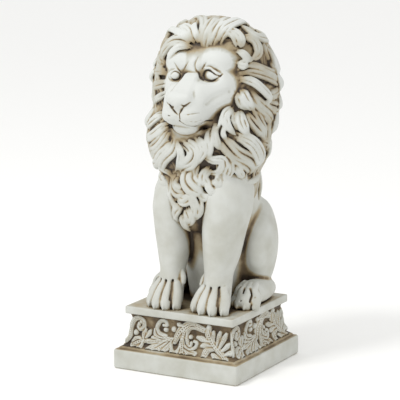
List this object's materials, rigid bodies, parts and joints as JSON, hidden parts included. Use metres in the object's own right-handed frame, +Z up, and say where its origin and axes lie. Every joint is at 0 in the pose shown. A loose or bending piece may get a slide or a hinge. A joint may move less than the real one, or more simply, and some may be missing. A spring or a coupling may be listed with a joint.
{
  "type": "seated lion garden statue",
  "caption": "Seated lion with a full curled mane, cast in one piece with a square plinth whose hollow frieze carries acanthus scrolls.",
  "frame": {"origin": "centre of the plinth's flat underside", "axes": "+Z up, -Y the way the lion looks, +X towards the lion's left side"},
  "size_m": [0.2907, 0.288, 0.7266],
  "materials": {
    "antique_stone": "matt pale grey stone with brown toning in the recesses"
  },
  "bodies": {
    "root": {"lion_on_plinth": "antique_stone"}
  },
  "joints": []
}
